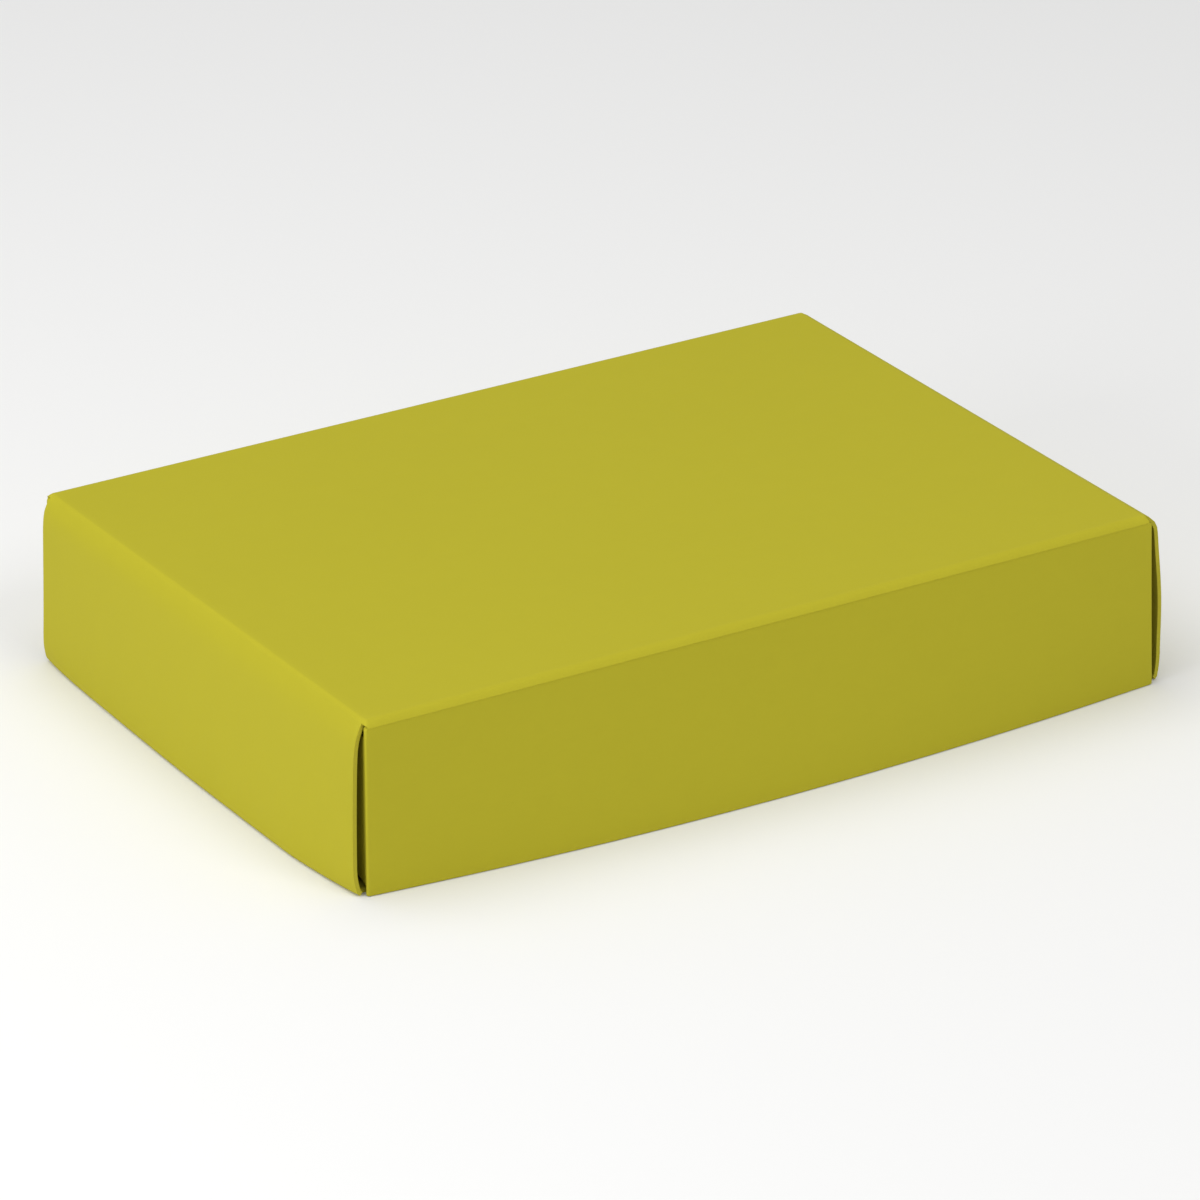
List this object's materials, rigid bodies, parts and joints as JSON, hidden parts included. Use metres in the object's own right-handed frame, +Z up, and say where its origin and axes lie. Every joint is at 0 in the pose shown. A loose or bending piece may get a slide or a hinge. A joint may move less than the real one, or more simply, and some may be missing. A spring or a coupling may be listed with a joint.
{
  "type": "board game box",
  "caption": "Flat folded-card box with a full-depth lift-off lid over an open base tray, made to hold a board game's board, pieces and rules.",
  "frame": {"origin": "centre of the box on the surface that it stands on, level with the underside of the base", "axes": "+X along the long walls to the right, +Y from the front wall to the back wall, +Z up through the lid"},
  "size_m": [0.3208, 0.2342, 0.062],
  "materials": {
    "outer_card": "lime satin-coated card, the outside of the blank",
    "inner_card": "lime uncoated card, the inside of the blank and its cut edges"
  },
  "bodies": {
    "base": {"base_floor_panel": "inner_card", "base_left_outer_panel": "outer_card", "base_left_rim_strip": "outer_card", "base_right_outer_panel": "outer_card", "base_right_rim_strip": "outer_card", "base_front_wall": "outer_card", "base_front_left_flap": "inner_card", "base_front_right_flap": "inner_card", "base_back_wall": "outer_card", "base_back_left_flap": "inner_card", "base_back_right_flap": "inner_card"},
    "base_left_inner": {"base_left_inner_panel": "outer_card"},
    "base_right_inner": {"base_right_inner_panel": "outer_card"},
    "lid": {"lid_top_panel": "outer_card", "lid_left_outer_panel": "outer_card", "lid_left_rim_strip": "outer_card", "lid_left_inner_panel": "outer_card", "lid_right_outer_panel": "outer_card", "lid_right_rim_strip": "outer_card", "lid_right_inner_panel": "outer_card"},
    "lid_front": {"lid_front_wall": "outer_card", "lid_front_left_flap": "inner_card", "lid_front_right_flap": "inner_card"},
    "lid_back": {"lid_back_wall": "outer_card", "lid_back_left_flap": "inner_card", "lid_back_right_flap": "inner_card"}
  },
  "joints": [
    {"name": "lid_lift", "type": "slide", "parent": "base", "child": "lid", "axis": [0, 0, 1], "range_m": [0, 0.08]},
    {"name": "lid_front_crease", "type": "hinge", "parent": "lid", "child": "lid_front", "pos_m": [0, -0.1075, 0.062], "axis": [-1, 0, 0], "range_deg": [0, 90]},
    {"name": "lid_back_crease", "type": "hinge", "parent": "lid", "child": "lid_back", "pos_m": [0, 0.1075, 0.062], "axis": [1, 0, 0], "range_deg": [0, 90]},
    {"name": "base_left_rim_crease", "type": "hinge", "parent": "base", "child": "base_left_inner", "pos_m": [-0.1404, 0, 0.0602], "axis": [0, -1, 0], "range_deg": [0, 90]},
    {"name": "base_right_rim_crease", "type": "hinge", "parent": "base", "child": "base_right_inner", "pos_m": [0.1404, 0, 0.0602], "axis": [0, 1, 0], "range_deg": [0, 90]}
  ]
}
